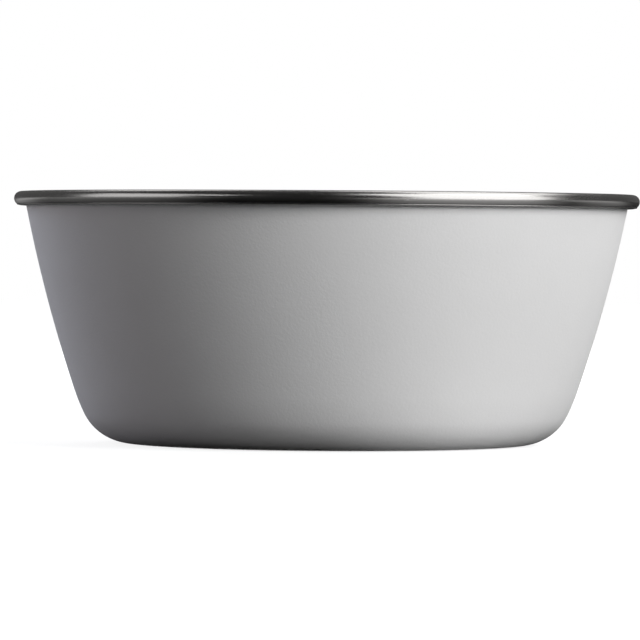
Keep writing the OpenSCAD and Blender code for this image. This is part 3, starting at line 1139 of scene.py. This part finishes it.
    def make_lug_root(self, side: int) -> BMesh:
        """Make the fillet round a lug's foot.

        Args:
            side: 1 for the lug at +X and -1 for the one at -X.

        Returns:
            The fillet's closed mesh, in place.
        """
        sink, fillet = self.root_sink, self.root_r
        half_x, half_y = self.lug_w / 2 - sink, self.lug_r - sink
        centre = Vector((side * (self.lug_x + self.lug_w / 2), 0, 0))
        place = Matrix.Translation(centre + Vector((0, 0, self.dish_z - sink + fillet)))
        place = place @ Matrix.Diagonal((half_x, half_y, 1, 1))
        root = bmesh.new()
        bmesh.ops.create_grid(root, x_segments=1, y_segments=1, size=1, matrix=place)
        round_off(root, root.verts[:], self.root_corner_r, FINE_STEPS, "VERTICES")
        loop, out, drop = root.edges[:], 0.0, 0.0
        for step in range(1, self.root_steps + 1):
            angle = math.pi / 2 * step / self.root_steps
            next_out, next_drop = fillet * (1 - math.cos(angle)), fillet * math.sin(angle)
            widen = ((half_x + next_out) / (half_x + out), (half_y + next_out) / (half_y + out))
            loop = grow_loop(root, loop, centre, widen, Vector((0, 0, drop - next_drop)))
            out, drop = next_out, next_drop
        loop = grow_loop(root, loop, centre, (1, 1), Vector((0, 0, -self.shell_t / 2)))
        bmesh.ops.edgeloop_fill(root, edges=loop)
        bmesh.ops.recalc_face_normals(root, faces=root.faces)
        return root

    def make_rest(self, x: float, y: float) -> BMesh:
        """Make one low rest that the folded bail lies on, with its foot in the dish's floor.

        Args:
            x: Place of the rest along X.
            y: Place of the rest along Y.

        Returns:
            The rest's closed mesh, in place.
        """
        floor, head = self.dish_z - self.root_sink, self.pivot_z - self.wire_r - self.seat_gap
        post = Outline(0, self.foot_z).line(self.rest_skirt_r, self.foot_z).line(self.rest_skirt_r, floor)
        post.line(self.rest_foot_r, floor, self.root_r).line(self.rest_head_r, head, self.rest_edge_r)
        stub = post.line(0, head).close().soften(REST_STEPS).turn(POST_STEPS)
        bmesh.ops.translate(stub, verts=stub.verts, vec=(x, y, 0))
        return stub

    def build_pan(self) -> None:
        """Build the plug moulding with the lip that keeps the gasket on."""
        thick, seat, low = self.shell_t, self.seat, self.plug_z
        floor, lip_z, open_r = low + thick, low + self.lip_h, self.floor_open_r
        low_r, high_r, lip_r = self.plug_r(low), self.plug_r(seat), self.plug_r(low) + self.lip_w
        flange_r = self.edge_x(seat) - thick - self.fit_gap
        section = Outline(open_r, floor).line(low_r - thick, floor, thick)
        section.line(high_r - thick, seat + thick, self.pan_edge_r)
        section.line(flange_r, seat + thick, self.flange_edge_r).line(flange_r, seat, self.flange_edge_r)
        section.line(high_r, seat).line(self.plug_r(lip_z), lip_z)
        section.line(lip_r, lip_z, self.lip_edge_r).line(lip_r, low, self.lip_edge_r).line(open_r, low)
        mesh = section.soften().turn()
        self.fill_floor(mesh, [(self.bore_r, floor), (self.bore_r, low)])
        add_piece("lid_pan", mesh, Body.LID, [self.pan_plastic])

    def build_gasket(self) -> None:
        """Build the ring with its two wiping lips."""
        low, high = self.plug_z + self.lip_h + self.fit_gap, self.seat - self.fit_gap
        thick, edge_r, root_r, tip_r = (
            self.band_share * self.gasket_w, self.gasket_edge_r, self.wiper_root_r, self.wiper_tip_r,
        )

        def band(share: float, out: float) -> Point:
            """Give a point of the band at a share of its height, so far out from its inner face."""
            z = low + share * (high - low)
            return self.plug_r(z) + self.fit_gap + out, z

        def tip(share: float) -> Point:
            """Give a point of a lip's edge at a share of the band's height."""
            z = low + share * (high - low)
            return self.wall.radius(z, self.wall.well_inset) - self.gasket_gap, z

        ring = Outline(*band(0, 0)).line(*band(0, thick), edge_r)
        for root in self.wiper_shares:
            end = root + self.wiper_rise_share
            ring.line(*band(root, thick), root_r).line(*tip(end), tip_r)
            ring.line(*tip(end + self.wiper_tip_share), tip_r).line(*band(end, thick), root_r)
        ring.line(*band(1, thick), edge_r).line(*band(1, 0)).close()
        add_piece("lid_gasket", ring.soften(FINE_STEPS).turn(), Body.LID, [self.silicone])

    def build_bail(self) -> None:
        """Bend the folding handle from wire, pivot to pivot."""
        end = self.lug_x + self.lug_w - self.pivot_short
        foot, bend, z, steps = self.foot_bend_r, self.bend_r, self.pivot_z, self.bend_steps
        pivot = Vector((end - self.leg_x - foot, 0, 0))
        leg = Vector((0, self.reach - bend - foot, 0))
        wire = BentWire(Vector((-end, 0, z)), self.wire_r).straight(pivot)
        wire.bend(Vector((-self.leg_x - foot, foot, z)), 90).straight(leg)
        wire.bend(Vector((bend - self.leg_x, self.reach - bend, z)), -90, steps)
        wire.straight(Vector((2 * (self.leg_x - bend), 0, 0)))
        wire.bend(Vector((self.leg_x - bend, self.reach - bend, z)), -90, steps).straight(-leg)
        wire.bend(Vector((self.leg_x + foot, foot, z)), 90).straight(pivot)
        add_piece("lid_bail", wire.end(self.wire_edge_r), Body.BAIL, [self.wire])


@dataclass(frozen=True)
class Softbox:
    """Flat soft light that faces the bowl, placed by degrees round it and above the table."""

    name: str
    use: Use
    azimuth: float
    elevation: float
    width: float
    height: float
    radiance: float
    colour: Colour = (1, 1, 1)
    distance: float = 1.2

    def add(self, target: Vector) -> None:
        """Hang the light where its angles say, seen from the target.

        Args:
            target: Point that the light faces.
        """
        data = bpy.data.lights.new(self.name, "AREA")
        data.shape = "RECTANGLE"
        data.size, data.size_y = self.width, self.height
        data.energy = self.radiance * math.pi * self.width * self.height
        data.color = self.colour
        light = bpy.data.objects.new(self.name, data)
        turn, rise = math.radians(self.azimuth), math.radians(self.elevation)
        way = Vector((math.sin(turn) * math.cos(rise), -math.cos(turn) * math.cos(rise), math.sin(rise)))
        light.location = target + way * self.distance
        light.rotation_euler = (-way).to_track_quat("-Z", "Y").to_euler()
        light.visible_camera = False
        light.visible_glossy = self.use is Use.MIRROR
        light.visible_diffuse = self.use is Use.LIGHT
        bpy.context.scene.collection.objects.link(light)
        LOG.info("%s hangs %.2f m away", self.name, self.distance)


@dataclass(frozen=True)
class TentShade:
    """Glow of a tent that only mirrors see, a painted reflection of the set, which grows along one
    direction.
    """

    name: str
    way: tuple[float, float, float]
    ends: Point
    glow: Point

    def material(self) -> Material:
        """Build the tent's material.

        Returns:
            The material.
        """
        tree = Tree(bpy.data.materials.new(self.name))
        along = tree.vector("DOT_PRODUCT", tree.place(), self.way)
        tree.glow(tree.spread(along, self.glow, self.ends))
        return tree.owner


@dataclass(frozen=True)
class CardShade:
    """Glow of a card on the table, seen only in mirrors, which grows away from the bowl and towards the
    lights.

    Its glow is painted reflection: painted pools of light at the lights' azimuths, and a painted shadow near
    the bowl. Each painted pool of light has an azimuth and a half width in degrees, and the glow that it
    adds.
    """

    name: str
    base: float
    painted_shadow_r: float
    power: float
    painted_light_pools: tuple[tuple[float, float, float], ...]

    def material(self) -> Material:
        """Build the card's material.

        Returns:
            The material.
        """
        tree = Tree(bpy.data.materials.new(self.name))
        place, glow = tree.place(), self.base
        reach, way = tree.vector("LENGTH", place), tree.vector("NORMALIZE", place)
        for azimuth, width, strength in self.painted_light_pools:
            turn, edge = math.radians(azimuth), math.cos(math.radians(width))
            facing = tree.vector("DOT_PRODUCT", way, (math.sin(turn), -math.cos(turn), 0))
            glow = tree.math("ADD", glow, tree.spread(facing, (0, strength), (edge, 1), "SMOOTHSTEP"))
        share = tree.math("MINIMUM", tree.math("DIVIDE", reach, self.painted_shadow_r), 1)
        tree.glow(tree.math("MULTIPLY", glow, tree.math("POWER", share, self.power)))
        return tree.owner


@dataclass
class Studio:
    """White set with lamps for dull surfaces, and sheets, a dark tent and a card that only mirrors see; the
    tent's and the card's glow is painted reflection.
    """

    target: Vector
    ambient: float = 0.048
    ambient_colour: Colour = (1.0, 0.95, 0.96)
    floor_size: float = 6.0
    floor_gap: float = 0.0001
    floor_glow: float = 0.86
    floor_fade_r: float = 0.9
    floor_grey: float = 0.28
    # What the floor throws back at dull surfaces, with a paler spot in front of the bowl
    bounce: float = 0.15
    bounce_card: float = 0.5
    bounce_place: Point = (0.041, -0.052)
    bounce_reach: float = 0.042
    tent_r: float = 2.4
    tent_h: float = 2.2
    # Tent glow seen only in mirrors: painted reflection, brighter towards the back and the top
    tent_painted_reflection: TentShade = TentShade("painted_reflection_dark_tent", (0, 0.9, 0.1), (-1.2, 2.2), (0.008, 0.09))
    card_r: float = 2.4
    card_hole_r: float = 0.05
    card_z: float = 0.0003
    # Card glow seen only in mirrors: painted pools of light towards the lamps and a painted shadow near the
    # bowl
    card_painted_light: CardShade = CardShade(
        "painted_light_table_card", 0.02, 0.6, 0.8, ((47, 40, 1.0), (-80, 50, 0.24), (112, 28, 0.4), (-140, 26, 0.4))
    )
    lights: tuple[Softbox, ...] = (
        Softbox("key_lamp", Use.LIGHT, 49.5, 26, 0.5, 0.5, 9.6),
        Softbox("key_wide", Use.LIGHT, 45, 14, 1.0, 0.35, 4.6),
        Softbox("right_back", Use.LIGHT, 130, 26, 0.6, 0.6, 5.8),
        Softbox("left_back", Use.LIGHT, -130, 24, 0.6, 0.6, 4.3, (0.76, 0.84, 1.0)),
        Softbox("left_low", Use.LIGHT, -100, 9, 1.0, 0.35, 2.15, (1.0, 0.93, 0.98)),
        Softbox("back", Use.LIGHT, 180, 24, 0.6, 0.6, 6.0, (1.0, 0.98, 0.95)),
        Softbox("right_sheet", Use.MIRROR, 59, 31, 1.3, 1.5, 1.62),
        Softbox("over_right", Use.MIRROR, 122, 60, 1.25, 0.7, 1.3),
        Softbox("left_panel", Use.MIRROR, -75, 21, 1.0, 0.8, 0.74),
        Softbox("left_top", Use.MIRROR, -156, 48, 0.42, 0.42, 0.9),
        Softbox("small_lamp", Use.MIRROR, -41, 27, 0.16, 0.16, 2.0),
    )

    def build(self) -> None:
        """Build the world, the floor, the flags and the lights."""
        self.build_world()
        self.build_floor()
        self.build_flags()
        for light in self.lights:
            light.add(self.target)

    def build_world(self) -> None:
        """Make the world white where it is seen or mirrored, and dim where it only lights."""
        tree = Tree(bpy.data.worlds.new("white_set"))
        bpy.context.scene.world = tree.owner
        dim = tree.nodes["Background"]
        tree.feed(dim.inputs["Color"], (*self.ambient_colour, 1))
        tree.feed(dim.inputs["Strength"], self.ambient)
        white = tree.out("ShaderNodeBackground", {"Color": WHITE, "Strength": 1.0})
        tree.split(dim.outputs["Background"], white, "World Output")

    def build_floor(self) -> None:
        """Lay the pale floor, which looks white, takes the bowl's shadow and throws light back."""
        tree = Tree(bpy.data.materials.new("white_floor"))
        tree.nodes.remove(tree.shader)
        place = tree.place()
        reach, gap = tree.vector("LENGTH", place), tree.vector("DISTANCE", place, (*self.bounce_place, 0))
        fade = tree.spread(reach, (self.floor_glow, 1), (0, self.floor_fade_r), "SMOOTHSTEP")
        glow = tree.out("ShaderNodeEmission", {"Strength": fade})
        grey = (self.floor_grey, self.floor_grey, self.floor_grey, 1)
        paint = tree.out("ShaderNodeBsdfDiffuse", {"Color": grey})
        seen = tree.out("ShaderNodeAddShader", {0: paint, 1: glow})
        shade = tree.spread(gap, (self.bounce_card, self.bounce), (0, self.bounce_reach))
        bounce = tree.out("ShaderNodeBsdfDiffuse", {"Color": shade})
        tree.split(bounce, seen, "Material Output")
        mesh, low = bmesh.new(), Matrix.Translation((0, 0, -self.floor_gap))
        bmesh.ops.create_grid(mesh, x_segments=1, y_segments=1, size=self.floor_size / 2, matrix=low)
        add_object("floor", mesh, [tree.owner])

    def build_flags(self) -> None:
        """Hang a dark tent round the set and lay a dark card in front, whose glow the steel mirrors as
        painted reflection.
        """
        tent = Outline(self.tent_r, 0).line(self.tent_r, self.tent_h).line(0, self.tent_h)
        card = Outline(self.card_hole_r, self.card_z).line(self.card_r, self.card_z)
        # Both flags only glow, and only in mirrors: painted reflection of the set, with painted light and
        # shadow on the card
        for form, shade in ((tent, self.tent_painted_reflection), (card, self.card_painted_light)):
            flag = add_object(shade.name, form.turn(FLAG_STEPS), [shade.material()])
            flag.visible_camera = flag.visible_diffuse = flag.visible_shadow = False
            flag.visible_transmission = False


@dataclass(frozen=True)
class Viewpoint:
    """Camera of the photograph: far off, just under the rim's height and a touch tilted."""

    distance: float = 1.2879
    side: float = -0.001525
    eye_height: float = 0.04957
    pitch: float = 0.0147
    roll: float = 0.00663
    focal_px: float = 5189.9
    image_px: float = 640
    sensor: float = 36.0
    nearest: float = 0.05
    farthest: float = 50.0

    def add(self) -> None:
        """Add the camera and make it the scene's."""
        data = bpy.data.cameras.new("photo_camera")
        data.sensor_width = self.sensor
        data.lens = self.focal_px / self.image_px * self.sensor
        data.clip_start, data.clip_end = self.nearest, self.farthest
        camera = bpy.data.objects.new("photo_camera", data)
        camera.location = (self.side, -self.distance, self.eye_height)
        tilt = Matrix.Rotation(math.pi / 2 - self.pitch, 3, "X") @ Matrix.Rotation(self.roll, 3, "Z")
        camera.rotation_euler = tilt.to_euler()
        bpy.context.scene.collection.objects.link(camera)
        bpy.context.scene.camera = camera


def main() -> None:
    """Build the bowl, its lid and the set round the frame."""
    logging.basicConfig(level=logging.INFO, format="%(message)s")
    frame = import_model()
    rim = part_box("inner_liner")[1]
    pivot = next(joint for joint in frame["joints"] if joint["name"] == "bail_fold")
    wall = WallForm(rim_r=rim.x, height=rim.z)
    Bowl(wall).build(frame["nodes"])
    vent_low, vent_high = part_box("vent_plug")
    Lid(wall, pivot_z=pivot["pos_m"][2], vent_y=(vent_low.y + vent_high.y) / 2).build(frame["nodes"])
    Studio(target=Vector((0, 0, wall.height / 2))).build()
    Viewpoint().add()
    bpy.context.scene.view_settings.view_transform = "Standard"


if __name__ == "__main__":
    main()
